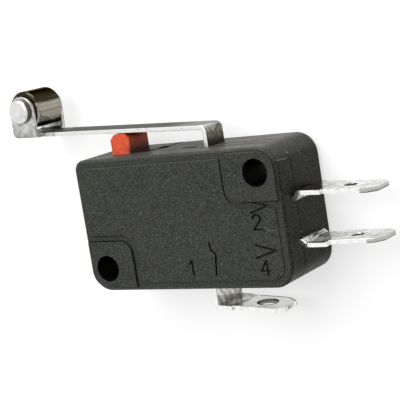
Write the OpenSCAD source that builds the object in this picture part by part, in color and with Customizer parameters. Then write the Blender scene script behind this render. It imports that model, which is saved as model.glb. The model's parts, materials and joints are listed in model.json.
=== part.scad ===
// Miniature snap-action switch with a hinged roller lever.
// Millimetres. The switch lies on its back: X runs along the case to the end
// terminals, Y points to the plunger and the lever, Z comes out of the front.
// The origin is the axis of the lower mounting hole on the back face.
// Inside the modules, lengths are measured from the case's lower left back corner.

/* [Case] */
// Length of the case
case_l = 27.8; // [27:0.1:30]
// Height of the case, from the bottom to the plunger face
case_h = 15.9; // [15.5:0.1:17]
// Thickness over the mounting pads
case_t = 10.3; // [10:0.1:11.5]
// Radius of three outline corners
corner_r = 2.5; // [1.8:0.1:3]
// Radius of the outline corner beside the plunger
small_corner_r = 1.3; // [0.9:0.1:1.8]
// Width of the bevel along the outer edges
edge_bevel = 0.3; // [0.1:0.05:0.4]
// Width of the fine bevel along the parting line
joint_bevel = 0.08; // [0.04:0.01:0.15]
// Thickness of the outer walls
wall = 1.3; // [1.1:0.1:1.5]
// Thickness of the back wall and of the cover plate under their panels
plate_t = 1.2; // [1:0.1:1.4]
// Height of the parting plane above the back pads
parting_z = 7; // [6.6:0.1:7.3]

/* [Faces] */
// Height of the mounting pads above the border
pad_step = 0.3; // [0.15:0.05:0.4]
// Height of the middle panel above the border
panel_step = 0.12; // [0.05:0.01:0.14]
// Border between the outline and a pad
pad_border = 0.45; // [0.35:0.05:0.6]
// Border between the outline and the panel
panel_border = 1; // [0.7:0.05:1.3]
// Reach of a pad along the case
pad_l = 6.6; // [6:0.1:7.2]
// Reach of a pad up the case
pad_h = 6; // [5.6:0.1:6.4]
// Radius of a pad's inner corner
pad_r = 1.5; // [0.8:0.1:2]
// Width of the groove between pad and panel
pad_groove = 0.75; // [0.4:0.05:1]

/* [Mounting holes] */
// Diameter of the two mounting holes
hole_d = 3.1; // [3:0.05:3.3]
// Distance of the holes' axes from the edges of the case
hole_inset = 2.8; // [2.7:0.05:2.9]
// Wall of the bosses around the holes
boss_wall = 1.2; // [1:0.1:1.3]

// Reach of the block that holds the end terminals
block_l = 2.1; // [1.8:0.1:2.4]
// Wall of the blocks that hold the terminals and the lever
block_rim = 1.4; // [1.2:0.1:1.6]

/* [Cover pegs] */
// Diameter of the pegs that centre the cover
peg_d = 1; // [0.8:0.1:1.1]
// Length of the pegs below the parting plane
peg_l = 1.5; // [1:0.1:2]
// Wall of the sockets that take the pegs
socket_wall = 0.45; // [0.4:0.05:0.5]
// Distance of a socket from the inner wall faces
socket_inset = 0.75; // [0.7:0.05:0.9]

/* [Plunger] */
// Distance of the plunger from the end of the case
plunger_x = 5.25; // [5.1:0.05:5.4]
// Length of the plunger's head along the case
plunger_l = 2.7; // [2.4:0.1:2.9]
// Width of the plunger's head across the case
plunger_w = 3.9; // [3.5:0.1:4.2]
// Bevel of the head's top edges
plunger_bevel = 0.6; // [0.3:0.05:0.8]
// Thickness of the collar that stops the plunger
collar_t = 1.2; // [1:0.1:1.5]
// Reach of the collar beyond the head
collar_reach = 0.7; // [0.5:0.05:0.8]
// Length of the plunger's foot along the case
foot_l = 1.9; // [1.6:0.1:2]
// Width of the plunger's foot across the case
foot_w = 2.4; // [2:0.1:3]
// Distance from the head's middle to the middle of the foot
foot_offset = 1.05; // [0.95:0.05:1.1]

/* [Lever] */
// Thickness of the lever sheet
lever_t = 0.5; // [0.4:0.05:0.55]
// Width of the lever strip
strip_w = 3.7; // [3.3:0.1:4]
// Distance from the plunger to the middle of the lever's leg
leg_offset = 11.9; // [11.5:0.05:12.3]
// Depth of the pivot below the plunger face
pivot_depth = 1.9; // [1.8:0.05:2]
// Height of the two lugs that the leg turns on
lug_h = 0.7; // [0.6:0.05:0.75]
// Width over the two lugs
lug_w = 5.5; // [5:0.1:5.8]
// Inner radius of the bend between leg and strip
bend_r = 0.3; // [0.2:0.05:0.5]
// Height of the bend's centre above the plunger face
bend_rise = 1.73; // [1.6:0.01:2]
// Angle by which the free strip rises towards the roller
strip_rise = 2.35; // [1.5:0.05:3]
// Distance from the bend's centre to the roller axis along the strip
reach = 24.9; // [23:0.1:27]
// Angle by which a full press turns the lever
lever_angle = 6.2; // [5:0.1:6.4]

/* [Roller] */
// Outer diameter of the roller
roller_d = 4.7; // [4.3:0.1:4.9]
// Width of the roller
roller_w = 4.6; // [4.3:0.1:4.8]
// Bevel of the roller's rims
roller_bevel = 0.2; // [0.1:0.05:0.3]
// Diameter of the rivet that carries the roller
rivet_d = 1.5; // [1.3:0.1:1.7]
// Diameter of the rivet's formed heads
rivet_head_d = 3; // [2.6:0.1:3.2]
// Height of the rivet's front head
rivet_head_h = 0.7; // [0.5:0.05:0.8]
// Height of the rivet's rear head
rivet_tail_h = 0.45; // [0.3:0.05:0.6]
// Length of the fork's ears along the strip
ear_l = 3.6; // [3.3:0.1:4]
// Gap under the roller
roller_lift = 0.53; // [0.4:0.01:0.7]
// Play of the roller between the ears, each side
ear_gap = 0.15; // [0.1:0.05:0.25]
// Inner radius of the folds at the foot of the ears
fold_r = 0.25; // [0.15:0.05:0.4]

/* [Terminals] */
// Thickness of the terminal sheet
tab_t = 0.5; // [0.4:0.05:0.6]
// Width of the terminals at the case
root_w = 5.5; // [5.2:0.1:5.8]
// Width of the quick-connect blades
blade_w = 4.75; // [4.5:0.05:5]
// Length of the quick-connect blades
blade_l = 6.35; // [6:0.05:6.6]
// Length of the bevels at a blade's tip
tip_l = 0.9; // [0.6:0.05:1.2]
// Width of the bevels at a blade's tip
tip_w = 1; // [0.7:0.05:1.3]
// Diameter of the hole in the end blades
eye_d = 1.5; // [1.3:0.05:1.8]
// Distance from the tip to the hole in the end blades
eye_inset = 3.9; // [3.3:0.05:4.2]
// Diameter of the hole in the common blade
com_eye_d = 2.4; // [2:0.05:2.6]
// Distance from the tip to the hole in the common blade
com_eye_inset = 3.05; // [2.6:0.05:3.4]
// Reach of the end blades beyond the case
end_reach = 9.8; // [9.6:0.05:10.4]
// Height of the normally open terminal inside the case
no_y = 4.72; // [4.6:0.01:4.8]
// Step of the normally open terminal outside the case
no_step = 0.45; // [0.3:0.05:0.6]
// Rise of the normally open blade beyond its shoulder
no_kick = 0.18; // [0.1:0.01:0.3]
// Height of the normally closed terminal inside the case
nc_y = 9.5; // [9.4:0.01:9.6]
// Step of the normally closed terminal outside the case
nc_step = 0.66; // [0.5:0.01:0.8]
// Droop of the normally closed blade
nc_droop = 1.7; // [0:0.1:3]
// Distance of the common terminal's leg from the end of the case
com_x = 15.7; // [15.4:0.05:16]
// Depth of the common blade below the case
com_drop = 2.72; // [2.4:0.02:3]
// Reach of the common blade beyond its leg
com_reach = 8.35; // [8:0.05:8.8]
// Droop of the common blade
com_droop = 4.5; // [0:0.1:6]

/* [Common bracket] */
// Height of the bracket's foot above the bottom of the case
bracket_y = 2.35; // [2.1:0.05:2.6]
// Distance of the bracket's upright from the end of the case
upright_x = 9; // [8.9:0.05:9.1]
// Width of the upright over its two prongs
upright_w = 4.4; // [4.2:0.1:4.8]
// Gap between the two prongs
prong_gap = 2.6; // [2.5:0.05:2.8]
// Height of the prongs' tips above the bottom of the case
prong_y = 8.5; // [8.2:0.1:8.8]
// Depth of the groove that seats the moving blade
seat_depth = 0.22; // [0.15:0.01:0.26]

/* [Contacts] */
// Distance of the contacts from the terminal end of the case
contact_inset = 5.8; // [5.6:0.05:6]
// Diameter of the fixed contacts
fixed_contact_d = 2.6; // [2.2:0.1:2.8]
// Height of the fixed contacts' heads
fixed_contact_h = 0.9; // [0.8:0.05:1]
// Height of the fixed contacts' riveted tails
contact_tail_h = 0.3; // [0.2:0.05:0.35]
// Diameter of the contact shanks
shank_d = 1.2; // [1:0.1:1.4]
// Diameter of the moving contact
moving_contact_d = 2.4; // [2:0.1:2.6]
// Height of each head of the moving contact
moving_contact_h = 0.6; // [0.5:0.05:0.62]

/* [Snap mechanism] */
// Thickness of the moving blade
arm_t = 0.35; // [0.3:0.01:0.4]
// Width of the moving blade's tongue at the contact
arm_tongue_w = 3; // [2.8:0.1:3.2]
// Length of the knife edges at the moving blade's end
knife_l = 0.28; // [0.24:0.01:0.32]
// Distance from the spring's eye in the moving blade to the contacts
arm_hook = 3.41; // [3.2:0.01:3.6]
// Thickness of the rocker sheet
rocker_t = 0.4; // [0.35:0.01:0.45]
// Width of the rocker
rocker_w = 4; // [3.6:0.1:4.2]
// Distance of the rocker's pivot from the end of the case
rocker_x = 2.45; // [2.4:0.01:2.5]
// Height of the rocker sheet above the bottom of the case
rocker_y = 8.6; // [8.5:0.02:8.7]
// Distance from the rocker's pivot to the spring's eye in the rocker
rocker_hook = 5.7; // [5.6:0.02:5.8]
// Radius of the post that the rocker turns on
post_r = 0.5; // [0.4:0.02:0.55]
// Height of the bump that the plunger presses
bump_h = 0.3; // [0.25:0.01:0.35]
// Diameter of the spring's coil
coil_d = 2; // [1.8:0.05:2.1]
// Diameter of the spring's wire
wire_d = 0.3; // [0.25:0.01:0.32]
// Distance between the spring's turns
coil_pitch = 0.34; // [0.33:0.01:0.4]
// Length of the spring's straight leads
lead_l = 1.6; // [1.4:0.1:2]
// Mean radius of the spring's end loops
loop_r = 0.65; // [0.6:0.01:0.7]
// Width of the sheet bars that the loops hook round
hook_bar = 0.45; // [0.4:0.01:0.5]
// Diameter of the holes that the loops pass through
hook_hole_d = 0.75; // [0.65:0.01:0.8]

/* [Clearances] */
// Radial running clearance of pivots and roller
run_gap = 0.05; // [0.03:0.01:0.08]
// Clearance of the plunger in its guide
plunger_gap = 0.1; // [0.06:0.01:0.15]
// Clearance of the sheets in their slots, across their thickness
slot_gap = 0.05; // [0.03:0.01:0.08]
// Clearance between parts that only rest against each other
rest_gap = 0.03; // [0.02:0.01:0.05]
// Gap left between the lever strip and the released plunger
button_gap = 0.1; // [0.08:0.01:0.12]

/* [Hidden] */
$fn = 64;

mid_z = case_t / 2;
past = 1;
overlap = 0.5;

holes = [[hole_inset, hole_inset], [case_l - hole_inset, case_h - hole_inset]];
boss_r = hole_d / 2 + boss_wall;

back_z = pad_step;
front_z = case_t - pad_step;
floor_z = back_z + plate_t;
ceiling_z = front_z - plate_t;

// Corner centres, radii and start angles, anticlockwise from the lower left.
corners = [
    [0, 0, corner_r, 180], [case_l, 0, corner_r, 270],
    [case_l, case_h, corner_r, 0], [0, case_h, small_corner_r, 90]
];

sockets = [
    [case_l - wall - socket_inset, wall + socket_inset],
    [wall + socket_inset, case_h - wall - socket_inset]
];

leg_x = plunger_x + leg_offset;
pivot_y = case_h - pivot_depth;
pocket_r = norm([lever_t, lug_h]) / 2 + run_gap;
bend_x = leg_x - lever_t / 2 - bend_r;
bend_y = case_h + bend_rise;
strip_low = bend_r;
axle_v = bend_r + lever_t + roller_lift + roller_d / 2;
ear_r = ear_l / 2;
fork_gap = roller_w + 2 * ear_gap;
fork_w = fork_gap + 2 * lever_t;
strip_over_plunger = bend_y + strip_low / cos(strip_rise) + (bend_x - plunger_x) * tan(strip_rise);
plunger_top = strip_over_plunger - button_gap;

contact_x = case_l - contact_inset;
nc_face = nc_y - tab_t / 2 - fixed_contact_h;
no_face = no_y + tab_t / 2 + fixed_contact_h;
arm_y = nc_face - moving_contact_h - arm_t / 2 - rest_gap;
knife_x = upright_x + tab_t / 2 - seat_depth + rest_gap;
arm_hook_x = contact_x - arm_hook;
arm_root_x = arm_hook_x - hook_bar / 2;
arm_end_x = contact_x + moving_contact_d / 2 + 0.2;

eye_in = post_r + run_gap;
eye_out = eye_in + rocker_t;
rocker_pivot_y = rocker_y + eye_in + rocker_t / 2;
rocker_hook_x = rocker_x + rocker_hook;
rocker_end_x = rocker_hook_x + hook_bar / 2;
foot_x = plunger_x + foot_offset;
bump_y = rocker_y + rocker_t / 2 + bump_h;

terminal_end_x = contact_x - fixed_contact_d / 2 - 0.2;
end_tip_x = case_l + end_reach;
shoulder_x = end_tip_x - blade_l;
com_tip_x = com_x + com_reach;
step_run = 0.55;
step_lead = 0.25;

// Places the whole switch with its lower mounting hole on the origin.
module in_frame() {
    translate([-hole_inset, -hole_inset, 0]) children();
}

// ---- case outline and shared case forms ----

// Centre of corner i for an outline moved in by inset.
function corner_centre(i) =
    let (c = corners[i], sx = c[0] == 0 ? 1 : -1, sy = c[1] == 0 ? 1 : -1)
    [c[0] + sx * c[2], c[1] + sy * c[2]];

module outline(inset = 0) {
    edge = [
        for (i = [0:3], a = [0, 90])
            let (c = corners[i], r = c[2] - inset)
            corner_centre(i) + r * [cos(c[3] + a), sin(c[3] + a)]
    ];
    polygon(edge);
    for (i = [0:3]) translate(corner_centre(i)) circle(corners[i][2] - inset);
}

// Wedge that bevels the upper edge (up = 1) or the lower edge (up = -1) at height z.
module bevel_section(r, z, up, width) {
    polygon([
        [r - width, z], [r, z - up * width], [r + past, z - up * width],
        [r + past, z + up * past], [r - width, z + up * past]
    ]);
}

module edge_bevels(z, up, width) {
    for (i = [0:3]) {
        c = corners[i];
        p = corner_centre(i);
        q = corner_centre((i + 1) % 4);
        r_next = corners[(i + 1) % 4][2];
        side_dir = c[3] + 90;
        start = p + c[2] * [cos(side_dir), sin(side_dir)];
        end = q + r_next * [cos(side_dir), sin(side_dir)];
        translate([p[0], p[1], 0]) rotate([0, 0, c[3]]) rotate_extrude(angle = 90)
            bevel_section(c[2], z, up, width);
        translate([start[0], start[1], 0]) rotate([0, 0, side_dir]) rotate([90, 0, 0])
            mirror([0, 0, 1]) linear_extrude(norm(end - start))
                bevel_section(0, z, up, width);
    }
}

// Corner block from a case corner, with one rounded corner towards the middle.
module corner_block(l, h, r) {
    translate([-past, -past]) square([l - r + past, h + past]);
    translate([-past, -past]) square([l + past, h - r + past]);
    translate([l - r, h - r]) circle(r);
}

module at_both_holes_2d() {
    children();
    translate([case_l, case_h]) rotate(180) children();
}

module pads_2d() {
    intersection() {
        outline(pad_border);
        at_both_holes_2d() corner_block(pad_l, pad_h, pad_r);
    }
}

module panel_2d() {
    difference() {
        outline(panel_border);
        at_both_holes_2d()
            corner_block(pad_l + pad_groove, pad_h + pad_groove, pad_r + pad_groove);
    }
}

// Everything that stands inside the walls, in plan.
module inner_forms_2d() {
    for (h = holes) translate(h) circle(boss_r);
    for (s = sockets) translate(s) circle(peg_d / 2 + socket_wall);
    // block that carries the two end terminals
    translate([case_l - wall - block_l, no_y - block_rim])
        square([block_l + overlap, nc_y - no_y + 2 * block_rim]);
    // block that carries the lever's pivot
    translate([leg_x - block_rim, pivot_y - block_rim])
        square([2 * block_rim, case_h - wall - pivot_y + block_rim + overlap]);
    // ribs under the common bracket
    for (x = [upright_x + 1.6, com_x - 1.9])
        translate([x, wall - overlap])
            square([0.8, bracket_y - tab_t / 2 - slot_gap - wall + overlap]);
}

module cavity_2d() {
    difference() {
        outline(wall);
        inner_forms_2d();
    }
}

// Room for the parts that pass through the walls or turn in them.
module passages() {
    for (h = holes) translate([h[0], h[1], -past]) cylinder(d = hole_d, h = case_t + 2 * past);
    // plunger guide
    translate([plunger_x, case_h, mid_z])
        cube([plunger_l + 2 * plunger_gap, 4 * wall, plunger_w + 2 * plunger_gap], center = true);
    // pivot pocket and slot of the lever's leg
    swing = (pivot_depth + overlap) * tan(lever_angle);
    translate([leg_x, pivot_y, mid_z])
        cylinder(r = pocket_r, h = lug_w + 2 * slot_gap, center = true);
    translate([leg_x - lever_t / 2 - swing - slot_gap, pivot_y, mid_z - strip_w / 2 - slot_gap])
        cube([lever_t + swing + 2 * slot_gap, pivot_depth + past, strip_w + 2 * slot_gap]);
    // end terminals
    for (y = [no_y, nc_y])
        translate([case_l - wall - block_l - past, y - tab_t / 2 - slot_gap, mid_z - root_w / 2])
            cube([wall + block_l + 2 * past, tab_t + 2 * slot_gap, root_w]);
    // common terminal
    translate([com_x - tab_t / 2 - slot_gap, -past, mid_z - root_w / 2])
        cube([tab_t + 2 * slot_gap, wall + 2 * past, root_w]);
}

// ---- case ----

module base_case() {
    color("#43443e") in_frame() {
        difference() {
            union() {
                difference() {
                    translate([0, 0, back_z]) linear_extrude(parting_z - back_z) outline();
                    translate([0, 0, floor_z]) linear_extrude(parting_z) cavity_2d();
                }
                translate([0, 0, back_z - panel_step]) linear_extrude(plate_t) panel_2d();
                linear_extrude(plate_t) pads_2d();
                // post that the rocker turns on
                translate([rocker_x, rocker_pivot_y, floor_z - overlap])
                    cylinder(r = post_r, h = ceiling_z - floor_z + overlap - slot_gap);
            }
            edge_bevels(back_z, -1, edge_bevel);
            edge_bevels(parting_z, 1, joint_bevel);
            passages();
            for (s = sockets)
                translate([s[0], s[1], parting_z - peg_l - 0.3])
                    cylinder(d = peg_d + 2 * slot_gap, h = peg_l + past);
        }
    }
}

module front_cover() {
    color("#46473f") in_frame() {
        difference() {
            union() {
                difference() {
                    translate([0, 0, parting_z]) linear_extrude(front_z - parting_z) outline();
                    translate([0, 0, parting_z - past]) linear_extrude(ceiling_z - parting_z + past)
                        cavity_2d();
                }
                translate([0, 0, ceiling_z]) linear_extrude(front_z + panel_step - ceiling_z)
                    panel_2d();
                translate([0, 0, ceiling_z]) linear_extrude(case_t - ceiling_z) pads_2d();
                for (s = sockets)
                    translate([s[0], s[1], parting_z - peg_l]) cylinder(d = peg_d, h = peg_l + past);
            }
            edge_bevels(front_z, 1, edge_bevel);
            edge_bevels(parting_z, -1, joint_bevel);
            passages();
        }
    }
}

// ---- plunger ----

module plunger() {
    low = bump_y + rest_gap;
    collar_top = case_h - wall - rest_gap;
    head_low = collar_top - collar_t;
    half = plunger_l / 2;
    color("#d8452f") in_frame() {
        // head with bevelled top edges
        translate([plunger_x, 0, mid_z - plunger_w / 2]) linear_extrude(plunger_w)
            polygon([
                [-half, head_low], [half, head_low], [half, plunger_top - plunger_bevel],
                [half - plunger_bevel, plunger_top], [plunger_bevel - half, plunger_top],
                [-half, plunger_top - plunger_bevel]
            ]);
        // collar under the top wall
        translate([plunger_x - half - collar_reach, head_low, mid_z - plunger_w / 2 - collar_reach])
            cube([plunger_l + 2 * collar_reach, collar_t, plunger_w + 2 * collar_reach]);
        // foot that presses the rocker
        translate([foot_x - foot_l / 2, low, mid_z - foot_w / 2])
            cube([foot_l, head_low - low + overlap, foot_w]);
    }
}

// ---- lever, roller and rivet ----

// Moves to the bend's centre, with -X running along the strip to the roller.
module on_strip() {
    translate([bend_x, bend_y, mid_z]) rotate([0, 0, -strip_rise]) children();
}

// U section of the fork, across the case and up from the strip.
module fork_section() {
    out_r = fold_r + lever_t;
    height = axle_v + ear_r - strip_low;
    difference() {
        union() {
            translate([0, -fork_w / 2 + out_r]) square([height, fork_w - 2 * out_r]);
            translate([out_r, -fork_w / 2]) square([height - out_r, fork_w]);
            for (s = [-1, 1]) translate([out_r, s * (fork_w / 2 - out_r)]) circle(out_r);
        }
        translate([lever_t, -fork_gap / 2 + fold_r]) square([height, fork_gap - 2 * fold_r]);
        translate([out_r, -fork_gap / 2]) square([height, fork_gap]);
        for (s = [-1, 1]) translate([out_r, s * (fork_gap / 2 - fold_r)]) circle(fold_r);
    }
}

// Side view of an ear: upright sides and a round top about the roller axis.
module ear_profile() {
    nose_r = 0.4;
    translate([-reach, axle_v]) circle(ear_r);
    translate([-reach - ear_r + nose_r, strip_low]) square([ear_l - nose_r, axle_v - strip_low]);
    translate([-reach - ear_r, strip_low + nose_r]) square([ear_l, axle_v - strip_low - nose_r]);
    translate([-reach - ear_r + nose_r, strip_low + nose_r]) circle(nose_r);
}

module lever() {
    color("#b9bab6") in_frame() {
        // leg and its lugs
        translate([leg_x - lever_t / 2, pivot_y - lug_h / 2, mid_z - strip_w / 2])
            cube([lever_t, bend_y - pivot_y + lug_h / 2, strip_w]);
        translate([leg_x, pivot_y, mid_z]) cube([lever_t, lug_h, lug_w], center = true);
        // bend into the strip
        translate([bend_x, bend_y, mid_z - strip_w / 2])
            rotate_extrude(angle = 90 - strip_rise) translate([bend_r, 0]) square([lever_t, strip_w]);
        difference() {
            on_strip() {
                translate([-reach, strip_low, -strip_w / 2]) cube([reach, lever_t, strip_w]);
                intersection() {
                    translate([0, 0, -fork_w]) linear_extrude(2 * fork_w) ear_profile();
                    translate([-reach - ear_l, strip_low, 0]) rotate([90, 0, 90])
                        linear_extrude(2 * ear_l) fork_section();
                }
            }
            on_strip() translate([-reach, axle_v, 0])
                cylinder(d = rivet_d, h = 2 * fork_w, center = true);
        }
    }
}

module roller() {
    half = roller_w / 2;
    bore_r = rivet_d / 2 + run_gap;
    rim_r = roller_d / 2;
    color("#8d8e8b") in_frame() on_strip() translate([-reach, axle_v, 0])
        rotate_extrude()
            polygon([
                [bore_r, -half], [rim_r - roller_bevel, -half], [rim_r, roller_bevel - half],
                [rim_r, half - roller_bevel], [rim_r - roller_bevel, half], [bore_r, half]
            ]);
}

module roller_pin() {
    outer = fork_w / 2;
    head_r = rivet_head_d / 2;
    edge = 0.25;
    color("#c9cac6") in_frame() on_strip() translate([-reach, axle_v, 0])
        rotate_extrude()
            polygon([
                [0, -outer - rivet_tail_h], [head_r - edge - 0.2, -outer - rivet_tail_h],
                [head_r - 0.2, edge - outer - rivet_tail_h], [head_r - 0.2, -outer],
                [rivet_d / 2, -outer], [rivet_d / 2, outer], [head_r, outer],
                [head_r, outer + rivet_head_h - edge], [head_r - edge, outer + rivet_head_h],
                [0, outer + rivet_head_h]
            ]);
}

// ---- terminals ----

// Sheet seen on edge: straight runs of the given thickness with rounded bends.
module bent_sheet(points, thickness) {
    for (i = [0:len(points) - 2]) {
        run = points[i + 1] - points[i];
        translate(points[i]) rotate(atan2(run[1], run[0]))
            translate([0, -thickness / 2]) square([norm(run), thickness]);
        if (i > 0) translate(points[i]) circle(d = thickness);
    }
}

module sheet_part(points, thickness, width) {
    translate([0, 0, mid_z - width / 2]) linear_extrude(width) bent_sheet(points, thickness);
}

// Shoulders, tip bevels and hole that turn a wide strip into a quick-connect blade.
module blade_cuts(tip_x, y, hole_d, hole_inset) {
    tall = 4;
    for (s = [-1, 1]) {
        translate([tip_x - blade_l, y - tall / 2, mid_z + s * (blade_w / 2 + past) - past])
            cube([blade_l + past, tall, 2 * past]);
        translate([tip_x, y + tall / 2, mid_z]) rotate([90, 0, 0]) linear_extrude(tall)
            polygon([
                [-tip_l, s * blade_w / 2], [0, s * (blade_w / 2 - tip_w)],
                [past, s * (blade_w / 2 - tip_w)], [past, s * (blade_w / 2 + past)],
                [-tip_l, s * (blade_w / 2 + past)]
            ]);
    }
    translate([tip_x - hole_inset, y, mid_z]) rotate([90, 0, 0])
        cylinder(d = hole_d, h = tall, center = true);
}

module shank_hole(y) {
    translate([contact_x, y, mid_z]) rotate([90, 0, 0])
        cylinder(d = shank_d, h = 2 * past, center = true);
}

module nc_terminal() {
    out_y = nc_y + nc_step;
    bend = case_l + step_lead + step_run;
    tip_y = out_y - (end_tip_x - bend) * tan(nc_droop);
    color("#dcdcd8") in_frame() difference() {
        sheet_part([
            [terminal_end_x, nc_y], [case_l + step_lead, nc_y], [bend, out_y], [end_tip_x, tip_y]
        ], tab_t, root_w);
        blade_cuts(end_tip_x, out_y, eye_d, eye_inset);
        shank_hole(nc_y);
    }
}

module no_terminal() {
    out_y = no_y - no_step;
    kick_x = shoulder_x + no_kick;
    color("#dcdcd8") in_frame() difference() {
        sheet_part([
            [terminal_end_x, no_y], [case_l + step_lead, no_y],
            [case_l + step_lead + step_run, out_y], [shoulder_x - no_kick, out_y],
            [kick_x, out_y + no_kick], [end_tip_x, out_y + no_kick]
        ], tab_t, root_w);
        blade_cuts(end_tip_x, out_y, eye_d, eye_inset);
        shank_hole(no_y);
    }
}

module com_terminal() {
    blade_y = -com_drop;
    tip_y = blade_y - com_reach * tan(com_droop);
    groove_half = 1.5 * seat_depth;
    side_cut = (root_w - upright_w) / 2;
    face_x = upright_x + tab_t / 2;
    color("#d6d2c6") in_frame() difference() {
        sheet_part([
            [upright_x, prong_y], [upright_x, bracket_y], [com_x, bracket_y],
            [com_x, blade_y], [com_tip_x, tip_y]
        ], tab_t, root_w);
        blade_cuts(com_tip_x, tip_y, com_eye_d, com_eye_inset);
        // the upright and its foot are narrower than the leg
        for (s = [-1, 1])
            translate([upright_x - past, wall, mid_z + s * (upright_w / 2 + side_cut) - side_cut])
                cube([com_x - tab_t - upright_x + past, prong_y, 2 * side_cut]);
        // gap that the spring works in
        translate([upright_x - past, arm_y - 2.6, mid_z - prong_gap / 2])
            cube([2 * past, prong_y, prong_gap]);
        // groove that seats the moving blade's knife edges
        translate([0, 0, mid_z - root_w]) linear_extrude(2 * root_w)
            polygon([
                [face_x - seat_depth, arm_y], [face_x + rest_gap, arm_y - groove_half],
                [face_x + rest_gap, arm_y + groove_half]
            ]);
    }
}

// ---- contacts ----

// Rivet along Y with its head towards dir, seated on the given sheet face.
module fixed_contact(y, dir) {
    sheet = tab_t / 2;
    r = fixed_contact_d / 2;
    dome = 0.15;
    translate([contact_x, y, mid_z]) rotate([-90 * dir, 0, 0]) rotate_extrude()
        polygon([
            [0, -sheet - contact_tail_h], [shank_d / 2 + 0.3, -sheet - contact_tail_h],
            [shank_d / 2 + 0.3, -sheet], [shank_d / 2, -sheet], [shank_d / 2, sheet],
            [r, sheet], [r, sheet + fixed_contact_h - dome],
            [r - 2 * dome, sheet + fixed_contact_h], [0, sheet + fixed_contact_h]
        ]);
}

module nc_contact() {
    color("#c8c6c0") in_frame() fixed_contact(nc_y, -1);
}

module no_contact() {
    color("#c8c6c0") in_frame() fixed_contact(no_y, 1);
}

module moving_contact() {
    r = moving_contact_d / 2;
    sheet = arm_t / 2;
    dome = 0.12;
    top = sheet + moving_contact_h;
    color("#cfcdc8") in_frame() translate([contact_x, arm_y, mid_z]) rotate([90, 0, 0])
        rotate_extrude()
            polygon([
                [0, -top], [r - 2 * dome, -top], [r, dome - top], [r, -sheet],
                [shank_d / 2, -sheet], [shank_d / 2, sheet], [r, sheet], [r, top - dome],
                [r - 2 * dome, top], [0, top]
            ]);
}

// ---- snap mechanism ----

module moving_blade() {
    half = arm_t / 2;
    tongue_x = arm_hook_x + loop_r + hook_hole_d;
    end_r = arm_tongue_w / 2;
    color("#c79a5b") in_frame() intersection() {
        // side view, sharpened to the knife edges
        translate([0, 0, mid_z - upright_w]) linear_extrude(2 * upright_w)
            polygon([
                [knife_x, arm_y], [knife_x + knife_l, arm_y - half], [arm_end_x + past, arm_y - half],
                [arm_end_x + past, arm_y + half], [knife_x + knife_l, arm_y + half]
            ]);
        // plan view
        translate([0, arm_y + past, mid_z]) rotate([90, 0, 0]) linear_extrude(2 * past)
            difference() {
                union() {
                    translate([knife_x - past, -upright_w / 2])
                        square([tongue_x - knife_x + past, upright_w]);
                    translate([tongue_x - overlap, -end_r])
                        square([arm_end_x - end_r - tongue_x + overlap, arm_tongue_w]);
                    translate([arm_end_x - end_r, 0]) circle(end_r);
                }
                translate([knife_x - 2 * past, -prong_gap / 2])
                    square([arm_root_x - knife_x + 2 * past, prong_gap]);
                translate([arm_hook_x + loop_r, 0]) circle(d = hook_hole_d);
                translate([contact_x, 0]) circle(d = shank_d);
            }
    }
}

module rocker() {
    half = rocker_t / 2;
    bump_r = 0.4;
    color("#b98f55") in_frame() difference() {
        union() {
            // rolled eye
            translate([rocker_x, rocker_pivot_y, mid_z - rocker_w / 2]) cylinder(r = eye_out, h = rocker_w);
            translate([rocker_x, rocker_y - half, mid_z - rocker_w / 2])
                cube([rocker_end_x - rocker_x, rocker_t, rocker_w]);
            // bump that the plunger presses
            translate([foot_x, bump_y - bump_r, mid_z])
                cylinder(r = bump_r, h = foot_w - 0.6, center = true);
        }
        translate([rocker_x, rocker_pivot_y, mid_z]) cylinder(r = eye_in, h = rocker_w + past, center = true);
        // the underside stays flat below the bump
        translate([foot_x - past, rocker_y - half - past, mid_z - foot_w])
            cube([2 * past, past, 2 * foot_w]);
        translate([rocker_hook_x - loop_r, rocker_y, mid_z]) rotate([90, 0, 0])
            cylinder(d = hook_hole_d, h = 2 * past, center = true);
    }
}

// Points of the spring's wire along its own X axis, from one loop's centre to the other's.
spring_run = [arm_hook_x - rocker_hook_x, arm_y - rocker_y];
spring_l = norm(spring_run);
coil_r = (coil_d - wire_d) / 2;
coil_turns = floor((spring_l - 2 * lead_l) / coil_pitch);
coil_l = coil_turns * coil_pitch;
coil_start = (spring_l - coil_l) / 2;
turn_steps = 12;

function loop_point(a) = [loop_r * cos(a), loop_r * sin(a), 0];

half_loop = [for (a = [60:30:330]) loop_point(a)];
lead_in = [
    [loop_r + 0.05, -0.02, 0], [loop_r + 0.25, 0.3 * coil_r, 0], [coil_start - 0.12, 0.8 * coil_r, -0.12]
];
coil = [
    for (i = [0:coil_turns * turn_steps])
        let (a = 360 * i / turn_steps)
        [coil_start + coil_pitch * i / turn_steps, coil_r * cos(a), coil_r * sin(a)]
];
function turned_end(points) = [
    for (i = [len(points) - 1:-1:0]) [spring_l - points[i][0], points[i][1], -points[i][2]]
];
wire_path = concat(half_loop, lead_in, coil, turned_end(lead_in), turned_end(half_loop));

function unit(v) = v / norm(v);
function tangent(path, i) =
    unit(path[min(i + 1, len(path) - 1)] - path[max(i - 1, 0)]);
function across(v, t) = unit(v - (v * t) * t);

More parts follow.
